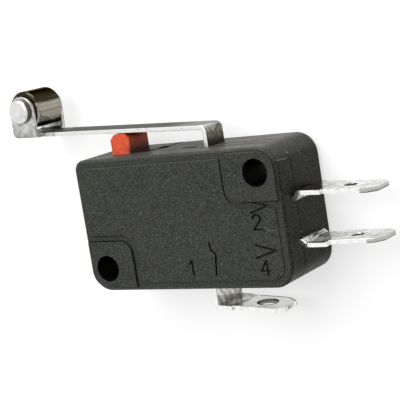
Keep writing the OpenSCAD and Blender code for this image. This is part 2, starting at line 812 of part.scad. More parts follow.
// Round wire swept along a path, its section carried on without twist.
module swept_wire(path, r, sides) {
    n = len(path);
    normals = [
        for (i = 0, u = across([0, 0, 1], tangent(path, 0)); i < n;
             i = i + 1, u = across(u, tangent(path, min(i, n - 1)))) u
    ];
    rings = [
        for (i = [0:n - 1], s = [0:sides - 1])
            let (a = 360 * s / sides, v = cross(tangent(path, i), normals[i]))
            path[i] + r * (cos(a) * normals[i] + sin(a) * v)
    ];
    skin = [
        for (i = [0:n - 2], s = [0:sides - 1])
            let (a = i * sides + s, b = i * sides + (s + 1) % sides)
            [a, a + sides, b + sides, b]
    ];
    polyhedron(
        rings,
        concat([[for (s = [0:sides - 1]) s]], skin, [[for (s = [sides - 1:-1:0]) (n - 1) * sides + s]]),
        convexity = 10
    );
}

module snap_spring() {
    color("#9a9c9e") in_frame() translate([rocker_hook_x, rocker_y, mid_z])
        rotate([0, 0, atan2(spring_run[1], spring_run[0])])
            swept_wire(wire_path, wire_d / 2, 6);
}

base_case();
front_cover();
plunger();
lever();
roller_pin();
roller();
com_terminal();
nc_terminal();
no_terminal();
nc_contact();
no_contact();
rocker();
moving_blade();
moving_contact();
snap_spring();
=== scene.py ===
import json
import math
import random

import bmesh
import bpy
from mathutils import Matrix, Vector


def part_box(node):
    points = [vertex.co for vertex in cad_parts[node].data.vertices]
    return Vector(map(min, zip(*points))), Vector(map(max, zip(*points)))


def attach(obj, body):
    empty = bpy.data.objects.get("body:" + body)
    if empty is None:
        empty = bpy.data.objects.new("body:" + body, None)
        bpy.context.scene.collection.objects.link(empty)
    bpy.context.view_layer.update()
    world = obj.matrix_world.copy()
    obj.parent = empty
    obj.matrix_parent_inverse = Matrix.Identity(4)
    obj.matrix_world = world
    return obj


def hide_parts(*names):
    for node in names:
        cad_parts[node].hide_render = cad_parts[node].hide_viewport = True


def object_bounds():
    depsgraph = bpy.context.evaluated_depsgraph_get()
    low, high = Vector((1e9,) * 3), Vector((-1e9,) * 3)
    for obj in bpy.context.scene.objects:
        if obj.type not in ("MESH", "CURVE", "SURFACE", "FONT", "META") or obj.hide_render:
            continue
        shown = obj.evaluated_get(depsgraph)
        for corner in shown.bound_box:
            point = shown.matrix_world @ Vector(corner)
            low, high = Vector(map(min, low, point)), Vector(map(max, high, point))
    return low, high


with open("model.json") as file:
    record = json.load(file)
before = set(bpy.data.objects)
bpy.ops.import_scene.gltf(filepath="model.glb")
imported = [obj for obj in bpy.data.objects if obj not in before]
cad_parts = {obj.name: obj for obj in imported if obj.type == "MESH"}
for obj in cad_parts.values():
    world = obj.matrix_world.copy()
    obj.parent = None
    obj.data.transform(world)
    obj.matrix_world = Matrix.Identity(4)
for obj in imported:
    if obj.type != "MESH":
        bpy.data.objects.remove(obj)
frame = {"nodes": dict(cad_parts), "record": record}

# Places on the object are in millimetres from the case's lower left back corner: X along the
# case, Y towards the plunger and Z towards the cover. at() turns them into metres in the frame.
MM = 0.001
cad_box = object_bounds()
case_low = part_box("base_case")[0]
case_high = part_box("front_cover")[1]
case_l, case_h, case_t = (case_high - case_low) / MM
case_mid = case_t / 2

# The two mounting holes: radius and axes.
MOUNTS = {m["name"]: m for m in frame["record"]["mounts"]}
HOLE_R = MOUNTS["lower_hole"]["dims"]["r_mm"]
HOLES = [
    ((Vector(MOUNTS[name]["pos_m"]) - case_low) / MM)[:2] for name in ("lower_hole", "upper_hole")
]

# Front edge of the lever's strip, which lies midway between the outer faces of the fork's ears.
STRIP_W = 3.7
lever_z = [(corner.z - case_low.z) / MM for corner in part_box("lever")]
strip_front = (sum(lever_z) + STRIP_W) / 2

# Heights of the cover's plate, of the panel on it and of the pads round the holes, and the radius
# of the case's corners.
PLATE_Z = 10.0
PANEL_Z = 10.12
PAD_Z = 10.3
CORNER_R = 2.5

# The two end terminals: X of their eyes, X where the painted grey shade on their tips starts and is
# full, and the lower faces of the tips.
EYE_X = 33.71
TIP_GREY = (35.7, 36.0)
TIP_LOWS = (9.66, 4.20)
# The lower one: start and length of its slope outside the case, upper face before and after it.
SLOPE_X = 28.14
SLOPE_L = 0.55
SLOPE_TOP = 4.97
SLOPE_FOOT = 4.52
# The bottom terminal: middle of its leg, upper face of its blade there, the blade's droop in
# degrees, and its eye.
LEG_X = 15.7
COM_TOP = -2.47
COM_DROOP = 4.5
COM_EYE = (21.0, -3.14, case_mid)
# All three eyes (centre and radius), whose walls get painted shade, and one small dark spot on the
# lower end terminal.
EYES = [((EYE_X, 10.0, case_mid), 0.80), ((EYE_X, 4.3, case_mid), 0.80), (COM_EYE, 1.25)]
SPOTS = [((31.7, 4.55, 4.2), 0.16)]


def at(x, y, z):
    """Point in the frame, in metres, for a place given in millimetres."""
    return case_low + Vector((x, y, z)) * MM


# ---------------------------------------------------------------- camera

# In the frame's own directions: the camera's place in millimetres from the frame's origin, where
# it looks and which way is up. Then its focal length.
CAMERA_AT = (97.654, 30.498, 133.454)
CAMERA_VIEW = (-0.5527, -0.1520, -0.8194)
CAMERA_UP = (0.04846, 0.97570, -0.21367)
CAMERA_LENS = 120.68


def add_camera():
    view = Vector(CAMERA_VIEW).normalized()
    right = view.cross(Vector(CAMERA_UP)).normalized()
    up = right.cross(view).normalized()
    rotation = Matrix((right, up, -view)).transposed().to_4x4()
    data = bpy.data.cameras.new("camera")
    data.sensor_width = 36
    data.lens = CAMERA_LENS
    data.clip_start = 0.01
    data.clip_end = 20
    camera = bpy.data.objects.new("camera", data)
    camera.matrix_world = Matrix.Translation(Vector(CAMERA_AT) * MM) @ rotation
    bpy.context.scene.collection.objects.link(camera)
    bpy.context.scene.camera = camera


# ---------------------------------------------------------------- shader helpers

# Inputs and output of a colour mix node, which share their names with those of other types.
MIX_A, MIX_B, MIX_RESULT = 6, 7, 2

# Short names of the main shader's constants.
CONSTANTS = {
    "metallic": "Metallic",
    "specular": "Specular IOR Level",
    "edge": "Specular Tint",
}


class Nodes:
    """A node tree under construction: the small methods below add nodes to it."""

    def __init__(self, tree):
        self.tree = tree

    def node(self, kind, **settings):
        made = self.tree.nodes.new(kind)
        for key, value in settings.items():
            setattr(made, key, value)
        return made

    def link(self, source, target):
        self.tree.links.new(source, target)

    def put(self, value, socket):
        """Sets a socket to a number or a colour, or links an output to it."""
        if isinstance(value, tuple):
            socket.default_value = (*value, 1)
        elif isinstance(value, (int, float)):
            socket.default_value = value
        else:
            self.link(value, socket)

    def parts(self, vector):
        """The X, Y and Z of a vector, by name."""
        split = self.node("ShaderNodeSeparateXYZ")
        self.link(vector, split.inputs[0])
        return split.outputs

    def ramp(self, value, low, high, out_low=0.0, out_high=1.0, shape="LINEAR"):
        """Goes from out_low to out_high while value goes from low to high."""
        made = self.node("ShaderNodeMapRange", interpolation_type=shape)
        made.inputs["From Min"].default_value = low
        made.inputs["From Max"].default_value = high
        made.inputs["To Min"].default_value = out_low
        made.inputs["To Max"].default_value = out_high
        self.link(value, made.inputs["Value"])
        return made.outputs["Result"]

    def math(self, operation, a, b=0.0, clamp=False):
        made = self.node("ShaderNodeMath", operation=operation, use_clamp=clamp)
        self.put(a, made.inputs[0])
        self.put(b, made.inputs[1])
        return made.outputs["Value"]

    def product(self, *factors):
        total = factors[0]
        for factor in factors[1:]:
            total = self.math("MULTIPLY", total, factor)
        return total

    def mix(self, factor, a, b):
        """Mixes colour a towards colour b by a factor from 0 to 1."""
        made = self.node("ShaderNodeMix", data_type="RGBA")
        self.link(factor, made.inputs["Factor"])
        self.put(a, made.inputs[MIX_A])
        self.put(b, made.inputs[MIX_B])
        return made.outputs[MIX_RESULT]

    def seen(self):
        """1 for camera rays and for mirrored and transmitted rays, 0 for those that only light."""
        path = self.node("ShaderNodeLightPath").outputs
        total = self.math("ADD", path["Is Camera Ray"], path["Is Glossy Ray"], clamp=True)
        return self.math("ADD", total, path["Is Transmission Ray"], clamp=True)


class Shader(Nodes):
    """A material under construction."""

    def __init__(self, name):
        self.material = bpy.data.materials.new(name)
        self.material.use_nodes = True
        super().__init__(self.material.node_tree)
        self.bsdf = self.tree.nodes["Principled BSDF"]
        coordinates = self.node("ShaderNodeTexCoord").outputs
        self.place = coordinates["Object"]
        self.normal = coordinates["Normal"]

    def stretched(self, scale):
        """Object coordinates in millimetres, multiplied by scale along each axis."""
        mapping = self.node("ShaderNodeMapping")
        mapping.inputs["Scale"].default_value = [s / MM for s in scale]
        self.link(self.place, mapping.inputs["Vector"])
        return mapping.outputs["Vector"]

    def noise(self, scale, detail=3.0, rough=0.55, offset=0.0):
        """Noise with features of about 1 / scale millimetres."""
        if not isinstance(scale, (tuple, list)):
            scale = (scale, scale, scale)
        made = self.node("ShaderNodeTexNoise", noise_dimensions="4D")
        made.inputs["Scale"].default_value = 1
        made.inputs["Detail"].default_value = detail
        made.inputs["Roughness"].default_value = rough
        made.inputs["W"].default_value = offset
        self.link(self.stretched(scale), made.inputs["Vector"])
        return made.outputs["Fac"]

    def bump(self, height, strength, depth, below=None):
        """Normal over a height map of the given depth (mm), on top of another normal."""
        made = self.node("ShaderNodeBump")
        made.inputs["Strength"].default_value = strength
        made.inputs["Distance"].default_value = depth * MM
        self.link(height, made.inputs["Height"])
        if below is not None:
            self.link(below, made.inputs["Normal"])
        return made.outputs["Normal"]

    def within(self, place, point, radius, soft):
        """1 where place lies within radius (mm) of a point, fading to 0 over soft (mm)."""
        made = self.node("ShaderNodeVectorMath", operation="DISTANCE")
        self.link(place, made.inputs[0])
        made.inputs[1].default_value = point
        return self.ramp(made.outputs["Value"], radius * MM, (radius + soft) * MM, 1, 0)

    def near(self, point, radius, soft):
        """1 inside a ball round a point of the frame, with a soft rim."""
        return self.within(self.place, point, radius, soft)

    def near_axis(self, point, radius, soft):
        """1 inside a cylinder along Z through a point of the frame, with a soft rim."""
        flat = self.node("ShaderNodeVectorMath", operation="MULTIPLY")
        self.link(self.place, flat.inputs[0])
        flat.inputs[1].default_value = (1, 1, 0)
        return self.within(flat.outputs["Vector"], (point[0], point[1], 0), radius, soft)

    def along(self, axis, start, end):
        """Rises from 0 to 1 between two places (mm) along X, Y or Z."""
        low, high = (at(place, place, place)["XYZ".index(axis)] for place in (start, end))
        return self.ramp(self.parts(self.place)[axis], low, high)

    def finish(self, colour, rough, normal=None, **constants):
        """Fills in the main shader and gives back the material."""
        self.put(colour, self.bsdf.inputs["Base Color"])
        self.put(rough, self.bsdf.inputs["Roughness"])
        if normal is not None:
            self.link(normal, self.bsdf.inputs["Normal"])
        for key, value in constants.items():
            self.put(value, self.bsdf.inputs[CONSTANTS[key]])
        return self.material


def shade(colour, factor):
    """A colour made lighter or darker by a factor."""
    return tuple(min(1.0, c * factor) for c in colour)


# ---------------------------------------------------------------- materials

def case_wear_and_shade(s, tone):
    """Puts the case's wear and painted sheen on top, a painted dark reflection of the plunger,
    painted shade on the end and in the bores, pale grains and dust over a tone.
    """
    wear_and_highlight, plunger_reflection, end_shade = (0.092, 0.080, 0.068), (0.014, 0.013, 0.010), (0.007, 0.006, 0.002)
    pale_grain, dust, bore_shade = (0.15, 0.15, 0.14), (0.32, 0.32, 0.30), (0.002, 0.002, 0.002)
    # the top is handled most: wear and a painted lighter sheen, brownish in patches, stronger
    # towards the end with the terminals
    patches = s.ramp(s.noise((0.8, 1, 1.5), detail=6, rough=0.7, offset=15), 0.36, 0.68, 0.15, 1)
    beyond_leg = s.ramp(s.along("X", 13, 20), 0, 1, 0.3, 1)
    top = s.along("Y", case_h - 0.25, case_h - 0.05)
    tone = s.mix(s.product(top, patches, beyond_leg), tone, wear_and_highlight)
    # painted dark reflection of the plunger's dark side on the top beside it
    tone = s.mix(s.near(at(7.7, 16.0, 5.6), 0.8, 0.9), tone, plunger_reflection)
    # painted shade: the end face is made darker
    end = s.along("X", case_l - 0.3, case_l - 0.05)
    tone = s.mix(s.ramp(end, 0, 1, 0, 0.85), tone, end_shade)
    sparkle = s.ramp(s.noise(6.5, detail=0, offset=11), 0.64, 0.74, 0, 0.5)
    tone = s.mix(sparkle, tone, pale_grain)
    specks = s.ramp(s.noise(3.1, detail=1, offset=8), 0.735, 0.77, 0, 0.55)
    tone = s.mix(specks, tone, dust)
    # painted shade: the bores are made very dark
    for x, y in HOLES:
        tone = s.mix(s.near_axis(at(x, y, 0), HOLE_R + 0.02, 0.05), tone, bore_shade)
    return tone


def case_plastic(name, colour, with_wear_and_shade=True):
    """Fine-grained dark phenolic."""
    s = Shader(name)
    grain = s.noise(5.5, detail=3, rough=0.7)
    cloud = s.noise(0.35, detail=3, offset=3)
    tone = s.mix(s.ramp(grain, 0.38, 0.62), shade(colour, 0.4), shade(colour, 1.7))
    tone = s.mix(s.ramp(cloud, 0.35, 0.7, 0, 0.35), tone, shade(colour, 1.35))
    if with_wear_and_shade:
        tone = case_wear_and_shade(s, tone)
    rough = s.ramp(s.noise(1.1, detail=4, offset=5), 0.3, 0.7, 0.34, 0.50)
    normal = s.bump(grain, 0.45, 0.04)
    normal = s.bump(s.noise(0.5, detail=2, offset=2), 0.25, 0.12, below=normal)
    return s.finish(tone, rough, normal, specular=0.09)


def plunger_plastic():
    """Red plastic with faint grime, and darker patches at its foot towards the hinge."""
    s = Shader("plunger_plastic")
    red, pale, grimy, foot_dark = (
        (0.62, 0.070, 0.026), (0.72, 0.12, 0.045), (0.22, 0.016, 0.014), (0.035, 0.018, 0.016)
    )
    tone = s.mix(s.ramp(s.noise(1.6, offset=4), 0.35, 0.7), red, pale)
    grime = s.ramp(s.noise((2.5, 1.2, 2.5), offset=6), 0.55, 0.75, 0, 0.6)
    tone = s.mix(grime, tone, grimy)
    foot = s.along("Y", case_h + 1.3, case_h + 0.3)
    side = s.along("X", 6.2, 6.5)
    patches = s.ramp(s.noise(2.0, detail=5, offset=21), 0.32, 0.47, 0.1, 0.97)
    # darker in patches at its foot, on one side
    tone = s.mix(s.product(foot, side, patches), tone, foot_dark)
    rough = s.ramp(s.noise(3), 0.3, 0.7, 0.30, 0.45)
    return s.finish(tone, rough, s.bump(s.noise(5), 0.25, 0.03), specular=0.2)


def inner_metal(name, colour, grain, rough, streak=0.35):
    """Metal inside the case, with fine lines and faint stains."""
    s = Shader(name)
    lines = s.noise(grain, detail=5, rough=0.6)
    fine = s.noise([g * 3 for g in grain], detail=3, offset=2)
    smear = s.ramp(s.noise(0.55, detail=4, offset=7), 0.5, 0.75, 0, 0.25)
    dark, light = shade(colour, 1 - streak), shade(colour, 1 + 0.4 * streak)
    tone = s.mix(s.ramp(lines, 0.3, 0.7), dark, light)
    tone = s.mix(smear, tone, shade(colour, 0.45))
    roughness = s.ramp(fine, 0.25, 0.75, rough * 0.7, rough * 1.35)
    return s.finish(tone, roughness, s.bump(lines, 0.25, 0.02), metallic=1.0)


def lever_steel():
    """Stainless sheet: strip painted dark as a reflection, bend and front edge painted near white
    as highlights, grey ears, brown stains on the leg with painted shade at its foot.
    """
    s = Shader("lever_steel")
    lines = s.noise((0.5, 14, 14), detail=5, rough=0.6)
    blotch = s.noise(1.3, detail=5, rough=0.65, offset=31)
    # painted dark reflection on the strip and painted highlight on the bend
    dull_reflection, bend_highlight = (0.165, 0.168, 0.150), (0.80, 0.80, 0.785)
    tone = s.mix(s.along("X", 11.5, 15.0), dull_reflection, bend_highlight)
    ear = s.mix(s.ramp(blotch, 0.42, 0.62), (0.70, 0.71, 0.68), (0.36, 0.36, 0.33))
    tone = s.mix(s.along("X", -3.5, -3.9), tone, ear)
    leg = s.mix(s.ramp(blotch, 0.40, 0.60), (0.46, 0.45, 0.41), (0.095, 0.078, 0.048))
    # painted shade: the leg darkens towards its foot at the case
    leg = s.mix(s.along("Y", 18.2, 16.4), leg, (0.060, 0.055, 0.042))
    tone = s.mix(s.along("X", 17.05, 17.3), tone, leg)
    # the strip's front edge is painted near white as a highlight, with dark nicks in it
    nicks = s.ramp(s.noise((1.6, 1.6, 3), detail=3, offset=24), 0.60, 0.72, 0, 0.6)
    edge_highlight = s.mix(nicks, (0.88, 0.88, 0.87), (0.30, 0.29, 0.26))
    front = s.along("Z", strip_front - 0.10, strip_front - 0.03)
    tone = s.mix(s.product(front, s.along("X", -4.6, -4.2)), tone, edge_highlight)
    tone = s.mix(s.ramp(lines, 0.3, 0.7, 0, 0.30), tone, (0.10, 0.10, 0.09))
    return s.finish(
        tone, s.ramp(lines, 0.25, 0.75, 0.2, 0.36), s.bump(lines, 0.2, 0.015),
        metallic=1.0, edge=(0.30, 0.30, 0.28)
    )


def roller_steel():
    """Turned steel with streaks along the axle, and painted dark reflections on two sides."""
    s = Shader("roller_steel")
    dark_band_angle = math.radians(72)
    light, streaked, dark_reflection = (0.36, 0.34, 0.285), (0.12, 0.11, 0.085), (0.036, 0.033, 0.023)
    low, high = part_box("roller")
    middle = (low + high) / 2
    place = s.parts(s.place)
    lines = s.noise((2.6, 2.6, 0.10), detail=4, rough=0.6, offset=3)
    across = s.math("SUBTRACT", place["X"], middle.x)
    up = s.math("SUBTRACT", place["Y"], middle.y)
    angle = s.math("ADD", s.math("ARCTAN2", up, across), s.ramp(lines, 0.3, 0.7, -0.3, 0.3))
    # painted dark reflections: two dark bands round the axle, fixed to the roller
    wave = s.math("COSINE", s.math("MULTIPLY", s.math("SUBTRACT", angle, dark_band_angle), 2))
    tone = s.mix(s.ramp(lines, 0.35, 0.65, 0, 0.6), light, streaked)
    tone = s.mix(s.ramp(wave, -0.6, -0.05), tone, dark_reflection)
    return s.finish(
        tone, s.ramp(lines, 0.3, 0.7, 0.12, 0.22), s.bump(lines, 0.15, 0.01),
        metallic=1.0, edge=(0.35, 0.34, 0.30)
    )


def rivet_steel(colour):
    """Bright headed rivet whose turned rims are darkened in patches as painted shade."""
    s = Shader("rivet_steel")
    low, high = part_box("roller_pin")
    middle = (low + high) / 2
    head_r = (high.x - low.x) / 2 / MM
    cloud = s.noise(1.4, detail=5, offset=7)
    tone = s.mix(s.ramp(cloud, 0.35, 0.65), colour, shade(colour, 0.72))
    body = s.near_axis(middle, head_r - 0.09, 0.03)
    # painted shade: the side of the head is darkened in patches
    patches = s.ramp(s.noise((1, 1, 9), detail=2, offset=5), 0.4, 0.6)
    rim = s.mix(patches, (0.075, 0.065, 0.045), (0.25, 0.23, 0.19))
    tone = s.mix(body, rim, tone)
    rough = s.ramp(cloud, 0.3, 0.7, 0.22, 0.4)
    return s.finish(tone, rough, s.bump(cloud, 0.3, 0.03), metallic=1.0)


def nc_case_reflection(s, cloud, facing):
    """Where the upper end terminal carries a painted dark reflection of the case: on top, beside
    the case, up to a slanting rim.
    """
    place = s.parts(s.place)
    slant = s.math("SUBTRACT", place["X"], s.math("MULTIPLY", place["Z"], 0.5))
    slant = s.math("ADD", slant, s.ramp(cloud, 0.35, 0.65, 0.35 * MM, -0.35 * MM))
    return s.product(
        s.ramp(slant, at(27.3, 0, 0).x, at(27.8, 0, 0).x, 1, 0), s.along("Y", 9.6, 9.7),
        s.ramp(facing["Y"], 0.2, 0.5), s.ramp(cloud, 0.40, 0.54, 0.55, 1)
    )


def leg_brown_and_reflection(s, facing):
    """Where the bottom terminal is brown: on its leg and at the root of its blade, where it is a
    painted reflection of the leg.
    """
    patches = s.ramp(s.noise((1, 0.6, 0.8), detail=4, offset=27), 0.42, 0.55, 0.3, 0.9)
    return s.product(
        s.along("Y", -1.0, -2.8), s.along("X", 18.6, 18.3), s.along("Z", 7.5, 7.4),
        s.along("X", LEG_X - 0.2, LEG_X - 0.05), patches, s.ramp(facing["Y"], -0.5, -0.2)
    )


def tinned_brass():
    """Hot-tinned brass: pale, with grey smears and brown stains, painted highlights on its edges
    and on the bottom blade's upper face, painted shade in the eyes and on the tips, and painted
    dark reflections beside the case and the leg.
    """
    s = Shader("tinned_brass")
    white, grey, scratched, warm = (
        (0.93, 0.925, 0.905), (0.31, 0.305, 0.29), (0.5, 0.49, 0.46), (0.50, 0.42, 0.33)
    )
    facing = s.parts(s.normal)
    cloud = s.noise((1.3, 1.3, 1.7), detail=5, rough=0.65, offset=1)
    lines = s.noise((0.8, 9, 9), detail=4, offset=9)
    tone = s.mix(s.ramp(cloud, 0.43, 0.61, 0, 1), white, grey)
    tone = s.mix(s.ramp(lines, 0.5, 0.8, 0, 0.45), tone, scratched)
    tone = s.mix(s.ramp(s.noise(0.6, detail=3, offset=12), 0.55, 0.72, 0, 0.35), tone, warm)
    # painted dark reflection of the case on the upper end terminal's top
    tone = s.mix(nc_case_reflection(s, cloud, facing), tone, (0.085, 0.058, 0.036))
    # the upper face of the bottom terminal's blade is painted near white: painted light
    top_light = s.product(s.along("Y", -0.3, -0.8), s.ramp(facing["Y"], 0.3, 0.6, 0, 0.9))
    tone = s.mix(top_light, tone, (0.97, 0.97, 0.96))
    # brown on the bottom terminal's leg, and a painted reflection of the leg on its blade's root
    tone = s.mix(leg_brown_and_reflection(s, facing), tone, (0.13, 0.115, 0.085))
    # the edges along the blades are painted near white: painted highlight
    edge_highlight = s.ramp(s.math("ABSOLUTE", facing["Z"]), 0.35, 0.6, 0, 0.8)
    tone = s.mix(edge_highlight, tone, (0.95, 0.95, 0.94))
    # painted shade: the walls of the eyes are dark grey
    for centre, radius in EYES:
        tone = s.mix(s.near(at(*centre), radius, 0.04), tone, (0.20, 0.19, 0.17))
    # the tips of the end blades are painted grey as shade, most of all their edges, with a painted
    # dark lower rim
    side = s.ramp(s.math("ABSOLUTE", facing["Y"]), 0.35, 0.6, 0.9, 0.3)
    tip = s.product(side, s.along("X", *TIP_GREY))
    tone = s.mix(tip, tone, (0.42, 0.42, 0.405))
    for low in TIP_LOWS:
        rim = s.product(s.along("Y", low + 0.15, low + 0.09), s.along("Y", low - 0.3, low - 0.2))
        tone = s.mix(s.product(rim, tip), tone, (0.06, 0.06, 0.055))
    for centre, radius in SPOTS:
        tone = s.mix(s.near(at(*centre), radius, 0.12), tone, (0.06, 0.055, 0.05))
    rough = s.ramp(cloud, 0.35, 0.7, 0.06, 0.26)
    normal = s.bump(cloud, 0.15, 0.04)
    normal = s.bump(lines, 0.1, 0.02, below=normal)
    # less metallic where the lower terminal slopes down beside the case
    matt = s.near(at(28.9, 4.6, 5.0), 2.0, 0.6)
    s.link(s.ramp(matt, 0, 1, 0.95, 0.25), s.bsdf.inputs["Metallic"])
    return s.finish(tone, rough, normal, edge=(0.92, 0.92, 0.91))


def copper_alloy(name, colour):
    """Rolled copper alloy strip with tarnish."""
    s = Shader(name)
    lines = s.noise((1.5, 14, 14), detail=4)
    tone = s.mix(s.ramp(lines, 0.3, 0.7), shade(colour, 0.75), shade(colour, 1.12))
    tarnish = s.ramp(s.noise(0.9, detail=4, offset=3), 0.5, 0.7, 0, 0.5)
    tone = s.mix(tarnish, tone, shade(colour, 0.5))
    rough = s.ramp(lines, 0.3, 0.7, 0.25, 0.42)
    return s.finish(tone, rough, s.bump(lines, 0.2, 0.02), metallic=1.0)


# ---------------------------------------------------------------- geometry helpers

# Distance at which points are merged. Angles between two faces, in degrees: up to the first they
# become one flat face, over the second their edge is bevelled, over the third it stays sharp.
WELD = 0.0005
FLAT_ANGLE = 0.5
BEVEL_ANGLE = 32
SHARP_ANGLE = 28
# Sides of the round joints in a drawn line.
JOINT_SIDES = 10


def new_object(name, mesh):
    made = bpy.data.objects.new(name, mesh)
    bpy.context.scene.collection.objects.link(made)
    return made


def applied(thing):
    """Mesh of an object with its modifiers worked in."""
    bpy.context.view_layer.update()
    graph = bpy.context.evaluated_depsgraph_get()
    return bpy.data.meshes.new_from_object(thing.evaluated_get(graph))


def clean_copy(node, material):
    """Copy of a CAD node's mesh with its flat faces merged, in one material."""
    mesh = frame["nodes"][node].data.copy()
    work = bmesh.new()
    work.from_mesh(mesh)
    bmesh.ops.remove_doubles(work, verts=work.verts, dist=WELD * MM)
    bmesh.ops.dissolve_limit(
        work, angle_limit=math.radians(FLAT_ANGLE), verts=work.verts, edges=work.edges,
        use_dissolve_boundaries=False, delimit=set()
    )
    work.to_mesh(mesh)
    work.free()
    mesh.materials.clear()
    mesh.materials.append(material)
    for face in mesh.polygons:
        face.material_index = 0
        face.use_smooth = True
    if "custom_normal" in mesh.attributes:
        mesh.attributes.remove(mesh.attributes["custom_normal"])
    return mesh


def finer(node, body, material, bevel=0.0, cutter=None):
    """Stands for a CAD node: same form, with softened edges and any engraved marks."""
    piece = new_object(node + "_finish", clean_copy(node, material))
    if cutter:
        cut = piece.modifiers.new("marks", "BOOLEAN")
        cut.operation = "DIFFERENCE"
        cut.solver = "EXACT"
        cut.use_self = True
        cut.material_mode = "TRANSFER"
        cut.object = cutter
    if bevel:
        soft = piece.modifiers.new("edges", "BEVEL")
        soft.width = bevel * MM
        soft.segments = 2
        soft.limit_method = "ANGLE"
        soft.angle_limit = math.radians(BEVEL_ANGLE)
        soft.use_clamp_overlap = True
        even = piece.modifiers.new("normals", "WEIGHTED_NORMAL")
        even.keep_sharp = False
    piece.data = applied(piece)
    piece.modifiers.clear()
    if not bevel:
        piece.data.set_sharp_from_angle(angle=math.radians(SHARP_ANGLE))
    if cutter:
        bpy.data.objects.remove(cutter)
    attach(piece, body)
    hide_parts(node)


def prism(work, outline, low, high):
    """Adds a closed prism over a plane outline, between two heights along Z."""
    base = [work.verts.new((x, y, low)) for x, y in outline]
    top = [work.verts.new((x, y, high)) for x, y in outline]
    count = len(outline)
    work.faces.new(list(reversed(base)))
    work.faces.new(top)
    for i in range(count):
        j = (i + 1) % count
        work.faces.new([base[i], base[j], top[j], top[i]])


def stroke(work, points, width, low, high):
    """Adds a drawn line of the given width through plane points, with round joints."""
    half = width / 2
    for (x0, y0), (x1, y1) in zip(points, points[1:]):
        length = math.hypot(x1 - x0, y1 - y0)
        if not length:
            continue
        nx, ny = -(y1 - y0) / length * half, (x1 - x0) / length * half
        outline = [(x0 - nx, y0 - ny), (x1 - nx, y1 - ny), (x1 + nx, y1 + ny), (x0 + nx, y0 + ny)]
        prism(work, outline, low, high)
    turns = [math.tau * (k + 0.5) / JOINT_SIDES for k in range(JOINT_SIDES)]
    for x, y in points:
        ring = [(x + half * math.cos(turn), y + half * math.sin(turn)) for turn in turns]
        prism(work, ring, low, high)


def arc(cx, cy, radius, start, end, steps=7):
    """Points on a circle between two angles in degrees."""
    angles = [math.radians(start + (end - start) * k / steps) for k in range(steps + 1)]
    return [(cx + radius * math.cos(a), cy + radius * math.sin(a)) for a in angles]


# ---------------------------------------------------------------- engraved marks

# How far the cutter reaches below and above the height of the pads, and the width of its lines.
MARK_DEPTH = 0.41
MARK_PAST = 0.5
MARK_WIDTH = 0.24

# An arrowhead at each end terminal and the line of a contact.
MARK_LINES = [
    [(24.0, 9.8), (25.85, 9.35), (23.7, 8.65)],
    [(23.6, 5.0), (26.2, 4.3), (23.5, 3.55)],
    [(17.5, 5.45), (17.65, 4.6), (18.2, 4.15), (17.85, 1.7)],
]
# Plain digits in a cell 1 wide and 1.6 high, then where they stand and how large they are.
DIGITS = {
    "1": [[(0.25, 1.25), (0.6, 1.6), (0.6, 0.0)]],
    "2": [arc(0.5, 1.15, 0.45, 170, -20) + [(0.05, 0.0), (0.98, 0.0)]],
    "4": [[(0.75, 0.0), (0.75, 1.6), (0.0, 0.5), (1.0, 0.5)]],
}
DIGIT_PLACES = [("1", 14.2, 1.75), ("2", 23.7, 6.75), ("4", 23.9, 1.55)]
DIGIT_SCALE = 1.05


def marks_cutter(material):
    """Cutter for the marks on the cover: terminal numbers, arrowheads and a contact line."""
    work = bmesh.new()
    lines = list(MARK_LINES)
    for digit, x, y in DIGIT_PLACES:
        for line in DIGITS[digit]:
            lines.append([(x + px * DIGIT_SCALE, y + py * DIGIT_SCALE) for px, py in line])
    low, high = case_high.z - MARK_DEPTH * MM, case_high.z + MARK_PAST * MM
    for line in lines:
        stroke(work, [tuple(at(x, y, 0).xy) for x, y in line], MARK_WIDTH * MM, low, high)
    mesh = bpy.data.meshes.new("marks")
    work.to_mesh(mesh)
    work.free()
    mesh.materials.append(material)
    return new_object("marks", mesh)


# ---------------------------------------------------------------- fine lines, dirt, painted shade and highlights

LINE_HEIGHT = 0.012
# Lines on the top face and the bottom terminal are this much thicker along Z than along X.
SQUEEZE = 3.0

# Each line is a width and its points. The seam and its branches lie on the top face (X and Z).
SEAM = [
    (0.30, [(8.3, 6.1), (8.7, 5.9), (9.1, 5.4), (9.25, 4.85), (8.85, 4.1), (8.8, 3.6), (9.6, 3.7),
            (9.5, 2.65), (9.5, 1.7), (9.9, 1.1)]),
    (0.22, [(9.25, 4.85), (9.9, 4.2), (9.7, 3.75)]),
    (0.16, [(13.4, 6.2), (14.2, 6.12), (15.3, 6.22)]),
    (0.07, [(18.2, 7.05), (20.3, 6.95), (22.6, 7.1), (25.4, 7.0)]),
    (0.05, [(18.6, 5.2), (21.0, 5.3), (24.8, 5.1)]),
]
# Scratches on the end face (Y and Z).
SCRATCHES = [
    (0.10, [(15.0, 7.2), (14.45, 6.9)]),
    (0.07, [(14.05, 7.7), (14.12, 8.8), (14.2, 9.8)]),
    (0.06, [(14.4, 4.7), (13.9, 4.55)]),
    (0.14, [(6.6, 5.1), (6.72, 5.16)]),
    (0.12, [(5.6, 6.9), (5.7, 6.95)]),
    (0.12, [(7.1, 3.6), (7.2, 3.6)]),
    (0.10, [(5.3, 3.1), (5.4, 3.12)]),
    (0.10, [(8.3, 7.4), (8.38, 7.44)]),
]
